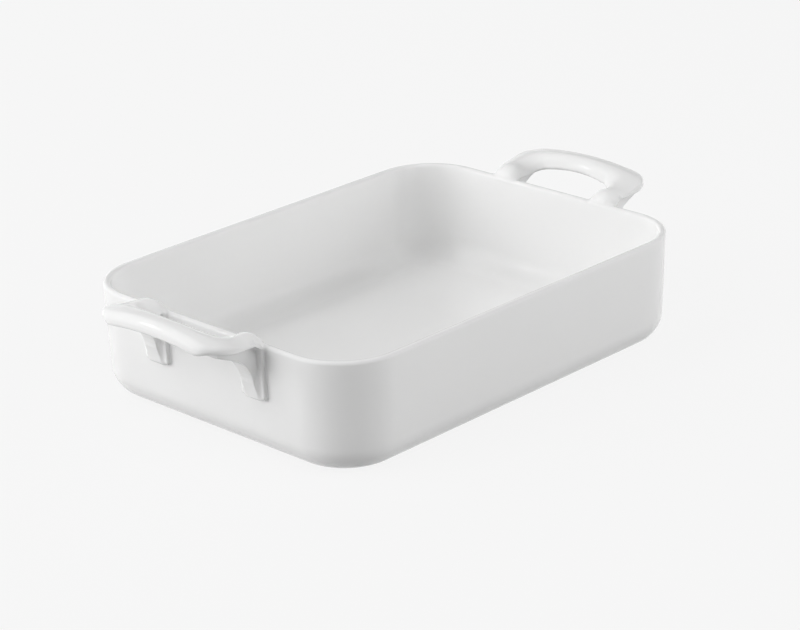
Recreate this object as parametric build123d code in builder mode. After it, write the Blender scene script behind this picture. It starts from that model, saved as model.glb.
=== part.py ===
from build123d import *
import math
import os

# Lasagna dish of glazed porcelain, in millimetres.
# X runs along the dish, Y across it and Z up; the origin is under the middle of the foot.

# Basin, measured at the rim's outer edge unless a name says otherwise
rim_length = 326.4
rim_width = 240.0
basin_height = 75.0
corner_radius = 43.0
wall_lean = 2.6
wall_thickness = 5.0
floor_thickness = 6.0
floor_edge_radius = 16.0
base_edge_radius = 18.0
lip_radius = 2.3

# Foot: an unglazed band that the dish stands on, round a shallow recess
foot_band = 9.0
foot_recess = 1.2
foot_edge_radius = 0.6

# Loop of each handle in plan: reaches run outward from the rim's outer face, half widths across
loop_reach = 42.4
loop_half_width = 54.8
loop_corner_radius = 18.0
gap_reach = 25.2
gap_bow = 4.6
gap_half_width = 32.2
gap_corner_radius = 7.0
root_run_in = 9.0
root_setback = 1.0

# Loop from the side: rises above the rim along its middle, and the arch that lowers its two ends
grip_rise = 9.6
arm_rise = 6.9
arch_radius = 260.0
arm_run = 12.0
grip_run = 33.0
grip_half_thickness = 5.3
arm_half_thickness = 4.0
loop_edge_radius = 3.5

# Pad that spreads each arm's load down the end wall; drops run down from the rim
pad_inner_side = 32.2
pad_outer_side = 54.0
pad_depth = 5.2
pad_drop = 35.5
pad_edge_radius = 3.6

# Web between pad and arm: its edge leans out from the pad's foot and turns at a knee towards the bar
web_inner_side = 37.8
web_outer_side = 48.8
web_foot_depth = 2.5
web_knee_depth = 8.2
web_knee_drop = 10.1
web_knee_radius = 26.0
web_tip_depth = 32.0
web_tip_rise = 0.8
web_edge_radius = 1.8

# Places that follow from the sizes above
lean_angle = math.degrees(math.atan(wall_lean / basin_height))
floor_depth = basin_height - floor_thickness
half_length = rim_length / 2
root_place = half_length - root_run_in
root_end = root_place - root_run_in
loop_end = half_length + loop_reach
slab_end = loop_end + root_run_in
bow_start = half_length + gap_reach - gap_bow
arm_height = basin_height + arm_rise
grip_height = basin_height + grip_rise
arch_height = grip_height - arch_radius
foot_height = basin_height - pad_drop
pad_top = arm_height - loop_edge_radius
pad_middle = (pad_inner_side + pad_outer_side) / 2
web_middle = (web_inner_side + web_outer_side) / 2
foot_inset = wall_lean + base_edge_radius + foot_band

# A face stands up when the vertical share of its normal is less than this
upright_share = 0.3

os.makedirs("parts", exist_ok=True)


def write(part, label):
    """Label a finished piece and write its solid."""
    part.label = label
    export_step(part, f"parts/{label}.step")


def rim_outline(inset):
    """Outline of the rim, drawn in by an inset on every side."""
    return RectangleRounded(rim_length - 2 * inset, rim_width - 2 * inset, corner_radius - inset)


def is_upright(face):
    """Whether a face of the loop stands up, as its inner and outer walls do."""
    return abs(face.normal_at().Z) < upright_share


def is_past_roots(face):
    """Whether a face lies outward of the loop's root ends."""
    return face.center().X > root_place


def is_floor(face):
    """Whether a level face is the top of the basin's floor."""
    return abs(face.center().Z - floor_thickness) < lip_radius


def is_web_front(edge):
    """Whether an edge of the web runs along its free front, from the pad's foot to its tip."""
    return edge.center().X > half_length + web_foot_depth and edge.center().Z < basin_height + web_tip_rise


# Basin: a drafted block, hollowed, with a round lip, a round base edge and a foot
with BuildPart() as dish_body:
    with BuildSketch(Plane.XY.offset(basin_height)):
        rim_outline(0)
    extrude(amount=-basin_height, taper=lean_angle)
    fillet(dish_body.faces().sort_by(Axis.Z)[0].edges(), base_edge_radius)
    with BuildSketch(Plane.XY.offset(basin_height)):
        rim_outline(wall_thickness)
    extrude(amount=-floor_depth, taper=lean_angle, mode=Mode.SUBTRACT)
    fillet(dish_body.faces().filter_by(Axis.Z).filter_by(is_floor).edges(), floor_edge_radius)
    fillet(dish_body.faces().sort_by(Axis.Z)[-1].edges(), lip_radius)
    with BuildSketch(Plane.XY):
        rim_outline(foot_inset)
    extrude(amount=foot_recess, mode=Mode.SUBTRACT)
    fillet(dish_body.faces().sort_by(Axis.Z)[0].edges(), foot_edge_radius)
write(dish_body.part, "dish_body")


# Pad under one arm, on the middle line: a flat rib with its front and lower edges rounded
with BuildPart() as pad:
    with BuildSketch(Plane.XY.offset(foot_height)):
        with Locations((half_length, 0)):
            Rectangle(2 * pad_depth, pad_outer_side - pad_inner_side)
    extrude(amount=pad_top - foot_height)
    pad_front = pad.faces().sort_by(Axis.X)[-1].edges()
    pad_bottom = pad.faces().sort_by(Axis.Z)[0].edges().filter_by(Axis.X)
    fillet(pad_front.sort_by(Axis.Z)[:-1] + pad_bottom, pad_edge_radius)


# Web under one arm, on the middle line: a plate whose free front edges are rounded
with BuildPart() as web:
    with BuildSketch(Plane.XZ):
        with BuildLine():
            FilletPolyline(
                (half_length, foot_height),
                (half_length + web_foot_depth, foot_height),
                (half_length + web_knee_depth, basin_height - web_knee_drop),
                (half_length + web_tip_depth, basin_height + web_tip_rise),
                radius=(0, web_knee_radius),
            )
            Polyline(
                (half_length + web_tip_depth, basin_height + web_tip_rise),
                (half_length + arm_run, arm_height),
                (half_length, pad_top),
                (half_length, foot_height),
            )
        make_face()
    extrude(amount=(web_outer_side - web_inner_side) / 2, both=True)
    fillet(web.faces().filter_by(Axis.Y).edges().filter_by(is_web_front), web_edge_radius)


# Plane of the end wall's inside, carried on above the rim, where the roots stop
inside_face = Plane(
    origin=(half_length - wall_thickness + root_setback, 0, basin_height),
    x_dir=(0, 1, 0),
    z_dir=(math.cos(math.radians(lean_angle)), 0, -math.sin(math.radians(lean_angle))),
)


# Rear handle: a flat ring in plan, kept where it meets an arched slab, on its pads and webs
with BuildPart() as rear_handle:
    with BuildSketch(Plane.XY.offset(foot_height)) as outline:
        with Locations(((root_place + loop_end) / 2, 0)):
            Rectangle(loop_end - root_place, 2 * loop_half_width)
        fillet(outline.vertices().group_by(Axis.X)[-1], loop_corner_radius)
    extrude(amount=2 * pad_drop)
    with BuildSketch(Plane.XY.offset(foot_height)) as gap:
        with BuildLine():
            Polyline(
                (bow_start, gap_half_width),
                (root_end, gap_half_width),
                (root_end, -gap_half_width),
                (bow_start, -gap_half_width),
            )
            ThreePointArc((bow_start, -gap_half_width), (bow_start + gap_bow, 0), (bow_start, gap_half_width))
        make_face()
        fillet(gap.vertices().group_by(Axis.X)[-1], gap_corner_radius)
    extrude(amount=2 * pad_drop, mode=Mode.SUBTRACT)
    with BuildSketch(Plane.XZ):
        with BuildLine():
            for side in (1, -1):
                arm_level = arm_height + side * arm_half_thickness
                grip_level = grip_height + side * grip_half_thickness
                arm_end = (half_length + arm_run, arm_level)
                grip_start = (half_length + grip_run, grip_level)
                Line((root_end, arm_height), (root_end, arm_level))
                Line((root_end, arm_level), arm_end)
                Spline(arm_end, grip_start, tangents=((1, 0), (1, 0)))
                Line(grip_start, (slab_end, grip_level))
                Line((slab_end, grip_level), (slab_end, grip_height))
        make_face()
    revolve(axis=Axis((0, 0, arch_height), (1, 0, 0)), mode=Mode.INTERSECT)
    walls = rear_handle.faces().filter_by(is_upright).filter_by(is_past_roots)
    levels = rear_handle.faces().filter_by(lambda face: not is_upright(face))
    fillet(walls.edges() & levels.edges(), loop_edge_radius)
    with Locations((0, pad_middle, 0), (0, -pad_middle, 0)):
        add(pad.part)
    with Locations((0, web_middle, 0), (0, -web_middle, 0)):
        add(web.part)
    split(bisect_by=inside_face, keep=Keep.TOP)
    add(dish_body.part, mode=Mode.SUBTRACT)
write(rear_handle.part, "rear_handle")

with BuildPart() as front_handle:
    mirror(rear_handle.part, about=Plane.YZ)
write(front_handle.part, "front_handle")
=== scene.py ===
import math

import bpy
import numpy as np
from mathutils import Matrix, Vector


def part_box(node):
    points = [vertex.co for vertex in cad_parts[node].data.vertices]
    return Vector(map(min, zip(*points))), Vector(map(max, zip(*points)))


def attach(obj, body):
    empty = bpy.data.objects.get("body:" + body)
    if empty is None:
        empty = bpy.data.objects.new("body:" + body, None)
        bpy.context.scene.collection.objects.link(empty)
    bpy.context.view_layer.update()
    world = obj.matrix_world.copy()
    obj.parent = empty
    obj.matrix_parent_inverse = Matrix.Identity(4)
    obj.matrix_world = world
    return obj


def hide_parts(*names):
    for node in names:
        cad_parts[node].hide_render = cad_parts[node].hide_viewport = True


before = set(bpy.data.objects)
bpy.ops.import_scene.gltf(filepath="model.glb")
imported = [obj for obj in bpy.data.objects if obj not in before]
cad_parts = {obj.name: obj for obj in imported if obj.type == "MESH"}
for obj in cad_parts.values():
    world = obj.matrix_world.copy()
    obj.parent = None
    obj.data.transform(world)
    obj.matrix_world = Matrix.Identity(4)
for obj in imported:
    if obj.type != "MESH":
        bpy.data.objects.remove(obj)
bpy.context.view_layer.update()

# Lengths are in millimetres, but for those of the materials, the floor and the lamps
MM = 0.001

# Wall: how far it leans in over its height, its thickness, and the radius of its lip
LEAN, WALL, LIP = 2.6, 5.0, 2.3

# Sizes that follow the solids
dish_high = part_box("dish_body")[1] / MM
handle_low, handle_high = (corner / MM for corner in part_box("rear_handle"))
HEIGHT = round(dish_high.z, 1)
SLOPE = LEAN / HEIGHT
# the rim is measured to its sharp edge, a little outside the widest line of the round lip
RIM_LENGTH = round(2 * (dish_high.x + LIP * SLOPE), 1)
RIM_WIDTH = round(2 * (dish_high.y + LIP * SLOPE), 1)
# the loop ends just short of the solid's end
LOOP_SHORT = 0.1
LOOP_REACH = round(handle_high.x - RIM_LENGTH / 2 - LOOP_SHORT, 1)
LOOP_HALF = round(handle_high.y, 1)
PAD_DROP = round(HEIGHT - handle_low.z, 1)

# Rest of the basin: its corners in plan, its floor, its rounded base and the foot it stands on
CORNER = 43.0
FLOOR, FLOOR_R, BASE_R = 6.0, 16.0, 18.0
FOOT_BAND, FOOT_RECESS, FOOT_R = 9.0, 1.2, 0.5

# Loop in plan: its outer corners, and the gap, whose far side bows outward
LOOP_R = 18.5
GAP_REACH, GAP_BOW, GAP_HALF, GAP_R = 25.0, 4.6, 32.3, 7.0
# how far out from the middle the bow goes on, as a share of the gap's half width
BOW_LIMIT = 1.6
# how far both outlines carry on inward of the wall
RUN_IN = 60.0
# least width of the bar, and how far past its edges a place across it is counted
MIN_WIDTH, ACROSS_LIMIT = 1e-3, 1.3

# Grip: height of its middle over the rim, fall of its arch and half its thickness
GRIP_MID, GRIP_ARCH, GRIP_HALF = 9.7, 5.65, 5.2
# how far its top falls and its underside rises towards its edges
GRIP_FALL, GRIP_RISE = 1.2, 0.8

# Arms: top and underside from the rim, and how far out they end and the grip begins
ARM_TOP, ARM_LOW = 7.6, -1.0
ARM_RUN, GRIP_RUN = 11.0, 33.0

# Roof of the arms: where its ridge lies across them, and how far and how sharply each side falls
RIDGE = 0.05
OUTER_DROP, OUTER_POWER = 3.3, 1.7
INNER_DROP, INNER_POWER = 6.2, 1.8
# at the rim the outer side falls further, and the inner side stays full and then turns down
SHOULDER_DROP, SHOULDER_POWER = 2.7, 1.0
SHOULDER_FROM, SHOULDER_RUN = 2.0, 10.0

# Thin outer edge: how far the underside rises to it, how steeply, and where along the arm it starts
EDGE_RISE, EDGE_STEEP = 3.3, 1.1
EDGE_FROM, EDGE_RUN = 1.5, 8.0
# it fades along the grip, but not round the loop's corners
FADE_FROM, FADE_RUN = 29.0, 10.0
CORNER_FROM, CORNER_RUN = 36.0, 13.0

# Radii of the loop's edges: each at the arms, and what the grip adds
TOP_OUT_R, TOP_OUT_MORE, TOP_OUT_CORNER, TOP_CORNER_RUN = 0.8, 3.8, 2.2, 12.0
TOP_IN_R, TOP_IN_MORE = 2.8, 1.8
LOW_OUT_R, LOW_OUT_MORE = 0.9, 1.5
LOW_IN_R, LOW_IN_MORE = 2.2, 2.4
# where outer edges grow full, and where across the bar the inner radii give way to the outer ones
FULL_FROM, FULL_RUN = 22.0, 16.0
CHANGE_SHIFT = 0.5

# Roots: setback from the wall's inside, middle and half width of each
ROOT_SET, ROOT_Y, ROOT_HALF = 0.4, 41.4, 12.2
# radius over the end and round to the sides, and the blend between the two
ROOT_R, ROOT_SIDE_R, ROOT_BLEND = 10.0, 7.0, 3.0
# where outward the roots' own sides give way to the loop's
SIDE_FROM, SIDE_RUN, SIDE_SPREAD = 7.0, 10.0, 100.0

# Pad down the wall under each arm: sides across, depth, edge radius, radius of its foot
PAD_IN, PAD_OUT, PAD_DEPTH, PAD_R, PAD_FOOT_R = 32.9, 53.5, 3.0, 1.1, 2.4
# its top lies under the rim and rises outward between two places
PAD_TOP, PAD_TOP_SLOPE, PAD_TOP_IN, PAD_TOP_OUT = 1.2, 0.8, -3.0, 6.0

# Web between pad and arm: sides across, edge radius, radius of its foot
WEB_IN, WEB_OUT, WEB_R, WEB_FOOT_R = 37.6, 49.0, 0.7, 1.5
# its front edge from the side, as reach from the rim's outer face and height
WEB_LINE = np.array([
    (-4.0, 20.0), (1.2, 39.5), (5.6, 51.0), (6.1, 54.2), (6.9, 56.8), (8.1, 59.4), (9.6, 61.8),
    (11.2, 64.0), (13.5, 66.5), (16.0, 68.4), (21.0, 71.0), (27.0, 73.5), (33.0, 76.0), (33.0, 95.0),
])
# height over and under a point between which the edge's slope is taken
WEB_STEP = 0.4
# its top follows the arm's underside: slope, the place where it is level with the rim, and its limits
WEB_TOP_SLOPE, WEB_TOP_FROM, WEB_TOP_LOW, WEB_TOP_HIGH = 0.3, 4.0, -2.0, 6.0

# Blends: pad and web at the knee and lower down, how far both run into the wall, and legs with loop
LEG_BLEND, LEG_BLEND_MORE, LEG_TOP, LEG_RUN = 1.2, 3.0, 60.0, 10.0
LEG_INSET = 3.2
LOOP_BLEND = 1.8
# the handle with the wall: below the rim, what is added at it, and where that is added
WALL_BLEND, WALL_BLEND_MORE, WALL_BLEND_UNDER, WALL_BLEND_RUN = 1.3, 1.3, 7.0, 8.0
# what is cut from the blend's thin edge, and how deep the handle's skin goes under the wall's face
FEATHER, SKIN_DEPTH = 0.22, 1.2


# Distance fields of the dish: x, y and z as in the frame, u outward from the end wall's face at the rim

def soft_min(a, b, k):
    """Union whose seam is a smooth blend that starts where the two fields differ by k."""
    h = np.clip(0.5 + 0.5 * (b - a) / k, 0, 1)
    return b + (a - b) * h - k * h * (1 - h)


def round_max(a, b, r):
    """Intersection whose edge is rounded to radius r."""
    corner = np.hypot(np.maximum(a + r, 0), np.maximum(b + r, 0))
    return np.minimum(np.maximum(a, b), -r) + corner


def rounded_rect(x, y, hx, hy, r):
    """Rectangle of half sizes hx and hy with corners of radius r."""
    qx, qy = np.abs(x) - (hx - r), np.abs(y) - (hy - r)
    return np.hypot(np.maximum(qx, 0), np.maximum(qy, 0)) + np.minimum(np.maximum(qx, qy), 0) - r


def ease(t):
    """Smooth step from 0 to 1."""
    t = np.clip(t, 0, 1)
    return t * t * (3 - 2 * t)


def ramp(value, start, run):
    """Smooth step that begins at start and takes a run to reach 1."""
    return ease((value - start) / run)


def basin(x, y, z):
    """Leaning walls round a hollow, with rounded base, floor edge and lip."""
    d = rounded_rect(x, y, RIM_LENGTH / 2, RIM_WIDTH / 2, CORNER) + (HEIGHT - z) * SLOPE
    outer = round_max(d, -z, BASE_R)
    inner = round_max(d + WALL, FLOOR - z, FLOOR_R)
    return round_max(np.maximum(outer, -inner), z - HEIGHT, LIP)


def loop_plan(u, y):
    """Outline and gap of the loop, and the place across its bar: -1 at the gap, 1 at the outer edge."""
    outline = rounded_rect(u + RUN_IN, y, LOOP_REACH + RUN_IN, LOOP_HALF, LOOP_R)
    bow = GAP_BOW * np.clip(np.abs(y) / GAP_HALF, 0, BOW_LIMIT) ** 2
    gap = rounded_rect(u + bow + RUN_IN, y, GAP_REACH + RUN_IN, GAP_HALF, GAP_R)
    width = np.maximum(gap - outline, MIN_WIDTH)
    return outline, gap, np.clip((gap + outline) / width, -ACROSS_LIMIT, ACROSS_LIMIT)


def loop_levels(u, y, across, to_grip):
    """Heights of the loop's top and underside: roofs on the arms, a flat oval that arches on the grip."""
    at_rim = 1 - ramp(u, SHOULDER_FROM, SHOULDER_RUN)
    away = np.abs(across - RIDGE)
    outer = (OUTER_DROP + SHOULDER_DROP * at_rim) * away ** OUTER_POWER
    inner = INNER_DROP * away ** (INNER_POWER + SHOULDER_POWER * at_rim)
    arm_top = HEIGHT + ARM_TOP - np.where(across > RIDGE, outer, inner)
    arm_low = HEIGHT + ARM_LOW
    grip_mid = HEIGHT + GRIP_MID - GRIP_ARCH * (y / LOOP_HALF) ** 2
    grip_top = grip_mid + GRIP_HALF - GRIP_FALL * across * across
    grip_low = grip_mid - GRIP_HALF + GRIP_RISE * across * across
    edge = EDGE_RISE * ease(EDGE_STEEP * across) * ramp(u, EDGE_FROM, EDGE_RUN)
    edge = edge * (1 - ramp(u, FADE_FROM, FADE_RUN) * (1 - ramp(np.abs(y), CORNER_FROM, CORNER_RUN)))
    top = arm_top + (grip_top - arm_top) * to_grip
    return top, (arm_low + (grip_low - arm_low) * to_grip) + edge


def loop_radii(u, y, across, to_grip):
    """Radii of the loop's upper and lower edges: crisp outside along the arms, full along the grip."""
    change = ease(across + CHANGE_SHIFT)
    full = ramp(u, FULL_FROM, FULL_RUN)
    corner = TOP_OUT_CORNER * ramp(np.abs(y), CORNER_FROM, TOP_CORNER_RUN)
    top_out = TOP_OUT_R + full * (TOP_OUT_MORE - corner)
    top_in = TOP_IN_R + TOP_IN_MORE * to_grip
    low_out = LOW_OUT_R + LOW_OUT_MORE * full
    low_in = LOW_IN_R + LOW_IN_MORE * to_grip
    return top_in + (top_out - top_in) * change, low_in + (low_out - low_in) * change


def root_ends(u, y, z, top):
    """Ends of the loop's roots: each turns over into the top and round to its sides."""
    inside = -(u + (HEIGHT - z) * SLOPE + WALL - ROOT_SET)
    past = np.clip((u - SIDE_FROM) / SIDE_RUN, 0, 1)
    side = np.abs(np.abs(y) - ROOT_Y) - ROOT_HALF - SIDE_SPREAD * past
    over = round_max(inside, top, ROOT_R)
    round_side = round_max(inside, side, ROOT_SIDE_R)
    return -soft_min(-over, -round_side, ROOT_BLEND)


def loop(u, y, z):
    """Grip and arms, a bar bent round the gap."""
    outline, gap, across = loop_plan(u, y)
    to_grip = ramp(u, ARM_RUN, GRIP_RUN - ARM_RUN)
    top_level, low_level = loop_levels(u, y, across, to_grip)
    top_r, low_r = loop_radii(u, y, across, to_grip)
    top = z - top_level
    bar = round_max(round_max(np.maximum(outline, -gap), top, top_r), low_level - z, low_r)
    return np.maximum(bar, root_ends(u, y, z, top))


def plate_sides(y, inner, outer):
    """Two plates that stand on either side of the middle, between two distances from it."""
    return np.abs(np.abs(y) - (inner + outer) / 2) - (outer - inner) / 2


def pad(u, y, z):
    """Flat ribs down the end wall, one under each arm."""
    front = u - PAD_DEPTH + (HEIGHT - z) * SLOPE
    d = round_max(plate_sides(y, PAD_IN, PAD_OUT), front, PAD_R)
    d = round_max(d, HEIGHT - PAD_DROP - z, PAD_FOOT_R)
    top = HEIGHT - PAD_TOP + PAD_TOP_SLOPE * np.clip(u, PAD_TOP_IN, PAD_TOP_OUT)
    return np.maximum(d, z - top)


def web_reach(z):
    """Reach of the web's front edge at a height."""
    return np.interp(z, WEB_LINE[:, 1], WEB_LINE[:, 0])


def web(u, y, z):
    """Plates between pads and arms, with a curved front edge."""
    slope = (web_reach(z + WEB_STEP) - web_reach(z - WEB_STEP)) / (2 * WEB_STEP)
    front = (u - web_reach(z)) / np.sqrt(1 + slope * slope)
    d = round_max(plate_sides(y, WEB_IN, WEB_OUT), front, WEB_R)
    d = round_max(d, HEIGHT - PAD_DROP - z, WEB_FOOT_R)
    top = np.clip(WEB_TOP_SLOPE * (u - WEB_TOP_FROM), WEB_TOP_LOW, WEB_TOP_HIGH)
    return np.maximum(d, z - HEIGHT - top)


def handle(x, y, z):
    """Loop on its two legs, at both ends of the dish."""
    u = np.abs(x) - RIM_LENGTH / 2
    leg_blend = LEG_BLEND + LEG_BLEND_MORE * ease((LEG_TOP - z) / LEG_RUN)
    leg = soft_min(pad(u, y, z), web(u, y, z), leg_blend)
    leg = np.maximum(leg, -(u + LEG_INSET))
    return soft_min(loop(u, y, z), leg, LOOP_BLEND)


def wall_blend(z):
    """Width of the blend of handle and wall at a height."""
    return WALL_BLEND + WALL_BLEND_MORE * ease((z - HEIGHT + WALL_BLEND_UNDER) / WALL_BLEND_RUN)


def whole_dish(x, y, z):
    """Basin and handles flowing together."""
    return soft_min(basin(x, y, z), handle(x, y, z), wall_blend(z))


def handle_skin(x, y, z):
    """The handle with its flare on the wall, closed off just under the wall's face."""
    b, h, width = basin(x, y, z), handle(x, y, z), wall_blend(z)
    return np.maximum(np.maximum(soft_min(b, h, width), -(b + SKIN_DEPTH)), h - width + FEATHER)


# Meshes
TINY = 1e-9
# half step for a field's gradient
GRADIENT_STEP = 0.02
# step of the handle's net, and the box it fills round the end wall's face at the rim
GRID = 0.6
NET_IN, NET_OUT, NET_SIDE, NET_BOTTOM, NET_TOP = 7.0, 46.0, 62.0, 33.0, 94.0
# rounds that move a net's points onto the surface, and the most that one moves them, as a share of GRID
SETTLE_ROUNDS, SETTLE_SHARE = 4, 0.35
# least squared slope of a field that such a move reckons with
SETTLE_SLOPE = 0.3
# share of the flare over which the handle's shading runs into the wall's
SHADING_SHARE = 0.4
# faces round the rim: each corner, each long side and each short side
CORNER_STEPS, LONG_STEPS, SHORT_STEPS = 24, 20, 14
# faces along the basin's profile, outside: each bend of the foot and its band, base edge and wall
FOOT_STEPS, BASE_STEPS, OUTER_STEPS = 4, 22, 12
# then each half of the lip, and inside: wall and floor edge
LIP_STEPS, INNER_STEPS, FLOOR_STEPS = 9, 10, 20
# rings on the flat of the floor and of the recess, inward from where each becomes flat
FLOOR_RING, MIDDLE_RING = 6.0, 12.0
# profile points nearer than this are one
SAME_POINT = 1e-4


def new_object(name, verts, faces):
    """Smooth mesh object that rides on the dish."""
    mesh = bpy.data.meshes.new(name)
    mesh.from_pydata([tuple(v) for v in verts], [], faces)
    mesh.validate()
    mesh.shade_smooth()
    obj = bpy.data.objects.new(name, mesh)
    bpy.context.scene.collection.objects.link(obj)
    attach(obj, "root")
    return obj


def gradient(field, p):
    """Gradient of a field at points."""
    g = np.empty_like(p)
    for axis in range(3):
        d = np.zeros(3)
        d[axis] = GRADIENT_STEP
        high, low = p + d, p - d
        g[:, axis] = field(high[:, 0], high[:, 1], high[:, 2]) - field(low[:, 0], low[:, 1], low[:, 2])
    return g / (2 * GRADIENT_STEP)


def cell_points(value, low, step):
    """A point in each grid cell that the surface crosses, and the number of each such cell."""
    shape = tuple(n - 1 for n in value.shape)
    total, count = np.zeros(shape + (3,)), np.zeros(shape)

    def at_corner(c):
        return value[c[0]:c[0] + shape[0], c[1]:c[1] + shape[1], c[2]:c[2] + shape[2]]

    for a in [(i, j, k) for i in (0, 1) for j in (0, 1) for k in (0, 1)]:
        for axis in range(3):
            if a[axis] == 1:
                continue
            b = tuple(1 if i == axis else c for i, c in enumerate(a))
            va, vb = at_corner(a), at_corner(b)
            cross = (va < 0) != (vb < 0)
            t = np.where(cross, va / np.where(cross, va - vb, 1.0), 0.0)
            for i in range(3):
                total[..., i] += np.where(cross, a[i] + (t if i == axis else 0.0), 0.0)
            count += cross
    live = count > 0
    index = np.full(shape, -1)
    index[live] = np.arange(live.sum())
    mean = total[live] / count[live][:, None]
    return np.array(low) + step * (np.argwhere(live) + mean), index


def cell_faces(inside, index):
    """A four-sided face round each grid edge that the surface crosses."""
    shape = index.shape
    faces = []
    for axis in range(3):
        u, v = (axis + 1) % 3, (axis + 2) % 3
        near = [slice(1, n) for n in shape]
        far = list(near)
        near[axis] = slice(0, shape[axis])
        far[axis] = slice(1, shape[axis] + 1)
        starts_in, ends_in = inside[tuple(near)], inside[tuple(far)]
        edge = np.argwhere(starts_in != ends_in)
        around = []
        for du, dv in ((0, 0), (1, 0), (1, 1), (0, 1)):
            cell = edge.copy()
            cell[:, u] += du
            cell[:, v] += dv
            around.append(index[tuple(cell.T)])
        quad = np.stack(around, 1)
        turned = ~starts_in[tuple(edge.T)]
        quad[turned] = quad[turned][:, ::-1]
        faces.append(quad)
    return np.concatenate(faces)


def surface_net(field, low, high, step):
    """Closed mesh of field = 0 on a grid, with its vertices moved onto the surface."""
    axes = [np.arange(a, b + step, step) for a, b in zip(low, high)]
    value = field(*np.meshgrid(*axes, indexing="ij"))
    p, index = cell_points(value, low, step)
    faces = cell_faces(value < 0, index)
    for _ in range(SETTLE_ROUNDS):
        g = gradient(field, p)
        f = field(p[:, 0], p[:, 1], p[:, 2])
        move = -f[:, None] * g / np.maximum((g * g).sum(1), SETTLE_SLOPE)[:, None]
        length = np.linalg.norm(move, axis=1)
        p += move * np.minimum(1, SETTLE_SHARE * step / np.maximum(length, TINY))[:, None]
    return p, faces


def basin_profile():
    """Profile from the middle of the underside round to the middle of the floor, as (offset, height)."""
    pts = []

    def arc(cx, cz, r, start, end, steps):
        for i in range(steps + 1):
            a = math.radians(start + (end - start) * i / steps)
            pts.append((cx + r * math.cos(a), cz + r * math.sin(a)))

    foot = -(BASE_R + FOOT_BAND)
    pts.append((foot - MIDDLE_RING, FOOT_RECESS))
    arc(foot - FOOT_R, FOOT_RECESS - FOOT_R, FOOT_R, 90, 0, FOOT_STEPS)
    arc(foot + FOOT_R, FOOT_R, FOOT_R, 180, 270, FOOT_STEPS)
    for i in range(1, FOOT_STEPS):
        pts.append((foot + FOOT_R + (FOOT_BAND - FOOT_R) * i / FOOT_STEPS, 0.0))
    arc(-BASE_R, BASE_R, BASE_R, -90, 0, BASE_STEPS)
    top = HEIGHT - LIP
    for i in range(1, OUTER_STEPS):
        pts.append((0.0, BASE_R + (top - BASE_R) * i / OUTER_STEPS))
    arc(-LIP, top, LIP, 0, 90, LIP_STEPS)
    arc(-(WALL - LIP), top, LIP, 90, 180, LIP_STEPS)
    low = FLOOR + FLOOR_R
    for i in range(1, INNER_STEPS):
        pts.append((-WALL, top + (low - top) * i / INNER_STEPS))
    arc(-WALL - FLOOR_R, low, FLOOR_R, 0, -90, FLOOR_STEPS)
    pts.append((-WALL - FLOOR_R - FLOOR_RING, FLOOR))
    pts.append((-WALL - FLOOR_R - MIDDLE_RING, FLOOR))
    clean = [pts[0]]
    for q in pts[1:]:
        if math.dist(q, clean[-1]) > SAME_POINT:
            clean.append(q)
    return [(e - (HEIGHT - z) * SLOPE, z) for e, z in clean]


def plan_ring(offset):
    """Points of the rim's rounded rectangle drawn out by an offset, from the middle of the +X side."""
    hx, hy, r = RIM_LENGTH / 2 - CORNER, RIM_WIDTH / 2 - CORNER, CORNER + offset
    side, turn, long = SHORT_STEPS // 2, CORNER_STEPS, LONG_STEPS // 2
    angles = [math.pi / 2 * i / turn for i in range(turn)]
    quarter = [(hx + r, hy * i / side) for i in range(side)]
    quarter += [(hx + r * math.cos(a), hy + r * math.sin(a)) for a in angles]
    quarter += [(hx - hx * i / long, hy + r) for i in range(long)]
    half = quarter + [(0.0, hy + r)] + [(-x, y) for x, y in quarter[:0:-1]]
    return half + [(-(hx + r), 0.0)] + [(x, -y) for x, y in half[:0:-1]]


def make_basin():
    """The basin: its profile carried round the rim's plan, with its two flat middles closed."""
    verts, faces = [], []
    profile = basin_profile()
    for e, z in profile:
        verts += [(x * MM, y * MM, z * MM) for x, y in plan_ring(e)]
    n = len(verts) // len(profile)
    for k in range(len(profile) - 1):
        for i in range(n):
            j = (i + 1) % n
            faces.append((k * n + i, k * n + j, (k + 1) * n + j, (k + 1) * n + i))
    # each flat middle has a face at both ends and strips across between them
    end = SHORT_STEPS // 2 + CORNER_STEPS
    for ring, flip in ((0, True), ((len(profile) - 1) * n, False)):
        caps = [[ring + i % n for i in range(-end, end + 1)]]
        caps.append([ring + n // 2 + i for i in range(-end, end + 1)])
        for i in range(end, n // 2 - end):
            caps.append([ring + i, ring + i + 1, ring + n - i - 1, ring + n - i])
        faces += [tuple(cap[::-1] if flip else cap) for cap in caps]
    return new_object("dish_body_glazed", verts, faces)


def handle_net():
    """Net of the +X handle, with shading that runs into the wall's own where its flare thins out."""
    face = RIM_LENGTH / 2
    low, high = (face - NET_IN, -NET_SIDE, NET_BOTTOM), (face + NET_OUT, NET_SIDE, NET_TOP)
    p, faces = surface_net(handle_skin, low, high, GRID)
    edge = wall_blend(p[:, 2]) - FEATHER
    share = ease((edge - handle(p[:, 0], p[:, 1], p[:, 2])) / (SHADING_SHARE * edge))[:, None]
    normals = gradient(whole_dish, p) * share + gradient(basin, p) * (1 - share)
    return p, faces, normals / np.maximum(np.linalg.norm(normals, axis=1), TINY)[:, None]


def make_handle(name, net, turn):
    """A handle from its net; turn is 1 at the +X end and -1 at the other, half a turn round."""
    p, faces, normals = net
    p, normals = p * (turn, turn, 1), normals * (turn, turn, 1)
    obj = new_object(name, p * MM, faces.tolist())
    obj.data.normals_split_custom_set_from_vertices([tuple(n) for n in normals])
    return obj


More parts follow.
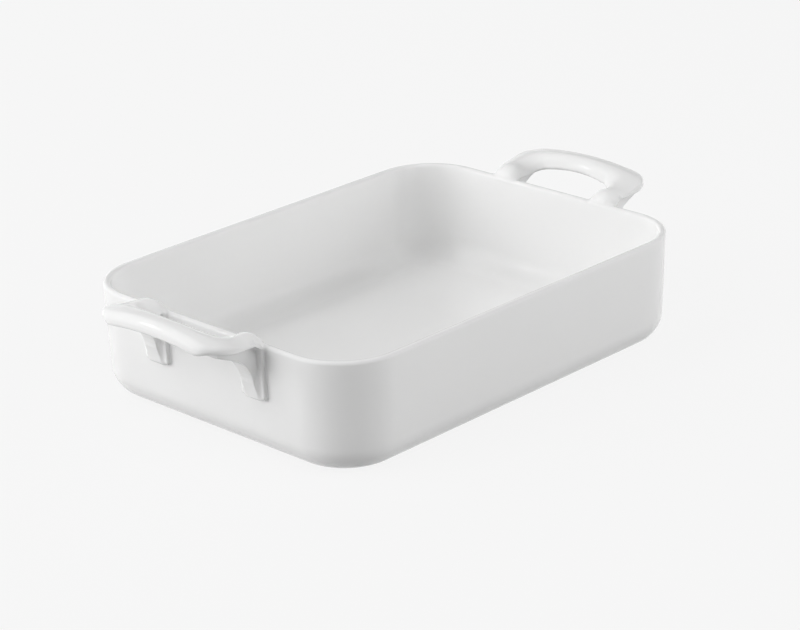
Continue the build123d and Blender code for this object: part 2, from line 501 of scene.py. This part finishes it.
# Materials: the glaze's white and gloss, the bare biscuit's, and the glaze's gentle waves in metres
GLAZE_DIM, GLAZE_BRIGHT = (0.875, 0.875, 0.873, 1), (0.895, 0.895, 0.893, 1)
GLAZE_IOR, GLAZE_ROUGH = 1.5, (0.06, 0.1)
BISCUIT_DIM, BISCUIT_BRIGHT, BISCUIT_ROUGH = (0.76, 0.74, 0.7, 1), (0.83, 0.82, 0.79, 1), 0.8
WAVE_STRENGTH, WAVE_DEPTH = 0.2, 0.0002
# scale and detail of the drift in white and in gloss, of the waves and of the biscuit's grain
DRIFT, GLOSS, WAVES, GRAIN = (18.0, 3.0), (55.0, 2.0), (30.0, 1.0), (2500.0, 2.0)
GLOSS_RANGE = (0.3, 0.7)
# heights in metres between which the foot's bare face gives way to glaze
FOOT_LINE = (0.0003, 0.0006)
BARE, COVERED = 1.0, 0.0


def empty_tree(owner):
    """Emptied node tree of a material or a world."""
    owner.use_nodes = True
    owner.node_tree.nodes.clear()
    return owner.node_tree


def node(tree, kind, **values):
    """New node of a kind, with its settings."""
    made = tree.nodes.new(kind)
    for key, value in values.items():
        setattr(made, key, value)
    return made


def noise(tree, vector, scale, detail):
    """Smooth noise of a scale and detail."""
    made = node(tree, "ShaderNodeTexNoise")
    made.inputs["Scale"].default_value = scale
    made.inputs["Detail"].default_value = detail
    tree.links.new(vector, made.inputs["Vector"])
    return made.outputs["Fac"]


def spread(tree, value, from_range, to_range, shape="LINEAR"):
    """A value carried from one range to another."""
    made = node(tree, "ShaderNodeMapRange", interpolation_type=shape)
    limits = ("From Min", "From Max", "To Min", "To Max")
    for name, number in zip(limits, from_range + to_range):
        made.inputs[name].default_value = number
    tree.links.new(value, made.inputs["Value"])
    return made.outputs["Result"]


def blend(tree, factor, kind, low, high):
    """Mix of two values or colours, each a constant or a socket."""
    made = node(tree, "ShaderNodeMix", data_type=kind)
    tree.links.new(factor, made.inputs["Factor"])
    places = {"FLOAT": (2, 3), "RGBA": (6, 7)}[kind]
    for place, value in zip(places, (low, high)):
        if isinstance(value, bpy.types.NodeSocket):
            tree.links.new(value, made.inputs[place])
        else:
            made.inputs[place].default_value = value
    return made.outputs[{"FLOAT": 0, "RGBA": 2}[kind]]


def mix_shaders(tree, factor, low, high):
    """Mix of two shaders by a constant or a socket."""
    made = node(tree, "ShaderNodeMixShader")
    if isinstance(factor, bpy.types.NodeSocket):
        tree.links.new(factor, made.inputs[0])
    else:
        made.inputs[0].default_value = factor
    tree.links.new(low, made.inputs[1])
    tree.links.new(high, made.inputs[2])
    return made.outputs[0]


def glaze(name, bare_foot):
    """Clear glaze over white porcelain; the foot it stands on may be left bare."""
    material = bpy.data.materials.new(name)
    tree = empty_tree(material)
    link = tree.links.new
    out = node(tree, "ShaderNodeOutputMaterial")
    shader = node(tree, "ShaderNodeBsdfPrincipled")
    link(shader.outputs["BSDF"], out.inputs["Surface"])
    shader.inputs["IOR"].default_value = GLAZE_IOR
    coord = node(tree, "ShaderNodeTexCoord").outputs["Object"]
    # the body's white drifts a little, the glaze's gloss with it, and its face is gently wavy
    color = blend(tree, noise(tree, coord, *DRIFT), "RGBA", GLAZE_DIM, GLAZE_BRIGHT)
    rough = spread(tree, noise(tree, coord, *GLOSS), GLOSS_RANGE, GLAZE_ROUGH)
    height = noise(tree, coord, *WAVES)
    if bare_foot:
        # below the edge of the foot there is no glaze: a dry, faintly sandy biscuit
        split = node(tree, "ShaderNodeSeparateXYZ")
        link(coord, split.inputs[0])
        bare = spread(tree, split.outputs["Z"], FOOT_LINE, (BARE, COVERED))
        grain = noise(tree, coord, *GRAIN)
        biscuit = blend(tree, grain, "RGBA", BISCUIT_DIM, BISCUIT_BRIGHT)
        color = blend(tree, bare, "RGBA", color, biscuit)
        rough = blend(tree, bare, "FLOAT", rough, BISCUIT_ROUGH)
        height = blend(tree, bare, "FLOAT", height, grain)
    bump = node(tree, "ShaderNodeBump")
    bump.inputs["Strength"].default_value = WAVE_STRENGTH
    bump.inputs["Distance"].default_value = WAVE_DEPTH
    link(height, bump.inputs["Height"])
    link(color, shader.inputs["Base Color"])
    link(rough, shader.inputs["Roughness"])
    link(bump.outputs["Normal"], shader.inputs["Normal"])
    return material


def dress(obj, material, node_name):
    """Gives a piece its material and puts it in a solid's place."""
    obj.data.materials.append(material)
    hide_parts(node_name)


porcelain = glaze("porcelain_glaze", False)
dish = make_basin()
dress(dish, glaze("porcelain_bare_foot", True), "dish_body")
net = handle_net()
front = make_handle("front_handle_glazed", net, -1)
dress(front, porcelain, "front_handle")
rear = make_handle("rear_handle_glazed", net, 1)
dress(rear, porcelain, "rear_handle")

# Floor: half its side and how far it lies under the foot, in metres
FLOOR_REACH, FLOOR_GAP = 8.0, 0.0002
# its tone, the share of shadow that shows on it, and the white of the rest
FLOOR_TONE, SHADOW_SHARE, FLOOR_WHITE = 0.5, 0.1, 0.975

# Room: white towards the horizon, tone overhead, heights between which it fades, and light of its own
ROOM_WHITE, ROOM_OVERHEAD, ROOM_FADE, ROOM_LIGHT = 0.9216, 0.15, (0.1, 0.42), 0.02

# Softboxes: distance from the dish and side, in metres
LAMP_DISTANCE, LAMP_SIZE = 2.6, 1.3
# azimuth and elevation in degrees and power in watts of each
LAMPS = (
    (164.0, 34.0, 22.0),
    (134.0, 12.0, 21.5),
    (314.0, 12.0, 26.0),
    (284.0, 34.0, 13.0),
    (254.0, 58.0, 13.5),
    (134.0, 58.0, 10.0),
    (74.0, 34.0, 12.0),
    (44.0, 12.0, 7.0),
    (164.0, 12.0, 7.5),
    (134.0, 34.0, 4.0),
    (44.0, 58.0, 2.0),
    (314.0, 58.0, 1.0),
)
# the one lamp that the glaze mirrors, low in power: a small glint along the foot of the far wall
GLINT_AZIMUTH, GLINT_ELEVATION, GLINT_SIZE, GLINT_POWER = 132.5, 25.1, 0.22, 1.1


def sight(tree):
    """Socket that is 1 for camera, glossy and transmission rays."""
    path = node(tree, "ShaderNodeLightPath")
    seen = path.outputs["Is Camera Ray"]
    for kind in ("Is Glossy Ray", "Is Transmission Ray"):
        either = node(tree, "ShaderNodeMath", operation="MAXIMUM")
        tree.links.new(seen, either.inputs[0])
        tree.links.new(path.outputs[kind], either.inputs[1])
        seen = either.outputs[0]
    return seen


def make_floor():
    """White floor that takes a faint shadow."""
    r, z = FLOOR_REACH, -FLOOR_GAP
    mesh = bpy.data.meshes.new("floor")
    mesh.from_pydata([(-r, -r, z), (r, -r, z), (r, r, z), (-r, r, z)], [], [(0, 1, 2, 3)])
    floor = bpy.data.objects.new("floor", mesh)
    bpy.context.scene.collection.objects.link(floor)
    material = bpy.data.materials.new("floor_white")
    tree = empty_tree(material)
    out = node(tree, "ShaderNodeOutputMaterial")
    white = node(tree, "ShaderNodeEmission")
    white.inputs["Strength"].default_value = FLOOR_WHITE
    matte = node(tree, "ShaderNodeBsdfDiffuse")
    matte.inputs["Color"].default_value = (FLOOR_TONE, FLOOR_TONE, FLOOR_TONE, 1)
    shown = mix_shaders(tree, SHADOW_SHARE, white.outputs[0], matte.outputs[0])
    both = mix_shaders(tree, sight(tree), matte.outputs[0], shown)
    tree.links.new(both, out.inputs["Surface"])
    mesh.materials.append(material)


def make_world():
    """A room that is white towards the horizon and dimmer overhead."""
    world = bpy.data.worlds.new("studio")
    bpy.context.scene.world = world
    tree = empty_tree(world)
    out = node(tree, "ShaderNodeOutputWorld")
    coord = node(tree, "ShaderNodeTexCoord")
    split = node(tree, "ShaderNodeSeparateXYZ")
    tree.links.new(coord.outputs["Generated"], split.inputs[0])
    fade = spread(tree, split.outputs["Z"], ROOM_FADE, (ROOM_WHITE, ROOM_OVERHEAD), "SMOOTHSTEP")
    shown = node(tree, "ShaderNodeBackground")
    tree.links.new(fade, shown.inputs["Strength"])
    light = node(tree, "ShaderNodeBackground")
    light.inputs["Strength"].default_value = ROOM_LIGHT
    both = mix_shaders(tree, sight(tree), light.outputs[0], shown.outputs[0])
    tree.links.new(both, out.inputs["Surface"])


def make_lamp(name, azimuth, elevation, size, power, mirrored):
    """Square area lamp aimed at the dish; azimuth is counted from +X towards +Y."""
    a, e = math.radians(azimuth), math.radians(elevation)
    aim = Vector((math.cos(a) * math.cos(e), math.sin(a) * math.cos(e), math.sin(e)))
    place = aim * LAMP_DISTANCE
    data = bpy.data.lights.new(name, "AREA")
    data.shape = "SQUARE"
    data.size = size
    data.energy = power
    lamp = bpy.data.objects.new(name, data)
    lamp.visible_glossy = mirrored
    lamp.location = place
    lamp.rotation_mode = "QUATERNION"
    lamp.rotation_quaternion = (-place).to_track_quat("-Z", "Y")
    bpy.context.scene.collection.objects.link(lamp)


make_floor()
make_world()
for azimuth, elevation, power in LAMPS:
    label = "softbox_%d_%d" % (azimuth, elevation)
    make_lamp(label, azimuth, elevation, LAMP_SIZE, power, False)
make_lamp("glint", GLINT_AZIMUTH, GLINT_ELEVATION, GLINT_SIZE, GLINT_POWER, True)

# Camera as solved from the photograph: focal length and image width in pixels, angles in radians
FOCAL, PHOTO_WIDTH = 2573.6, 800.0
YAW, PITCH, ROLL = 0.7685, 0.3773, -0.02758
# its place and its sensor's width in millimetres
CAMERA_PLACE = (-1117.05, -1087.69, 649.16)
SENSOR_WIDTH = 36.0
# nearest and farthest distance shown, in metres
CLIP_START, CLIP_END = 0.05, 50.0


def make_camera():
    """Camera at the photograph's place and angle, turned by its small roll."""
    level = math.cos(PITCH)
    look = Vector((math.cos(YAW) * level, math.sin(YAW) * level, -math.sin(PITCH)))
    flat_right = Vector((math.sin(YAW), -math.cos(YAW), 0.0))
    flat_up = flat_right.cross(look)
    right = math.cos(ROLL) * flat_right + math.sin(ROLL) * flat_up
    up = -math.sin(ROLL) * flat_right + math.cos(ROLL) * flat_up
    data = bpy.data.cameras.new("camera")
    data.sensor_fit = "HORIZONTAL"
    data.sensor_width = SENSOR_WIDTH
    data.lens = FOCAL / PHOTO_WIDTH * SENSOR_WIDTH
    data.clip_start, data.clip_end = CLIP_START, CLIP_END
    camera = bpy.data.objects.new("camera", data)
    turn = Matrix((right, up, -look)).transposed()
    camera.matrix_world = Matrix.Translation(Vector(CAMERA_PLACE) * MM) @ turn.to_4x4()
    bpy.context.scene.collection.objects.link(camera)
    bpy.context.scene.camera = camera


make_camera()
bpy.context.scene.view_settings.view_transform = "Standard"
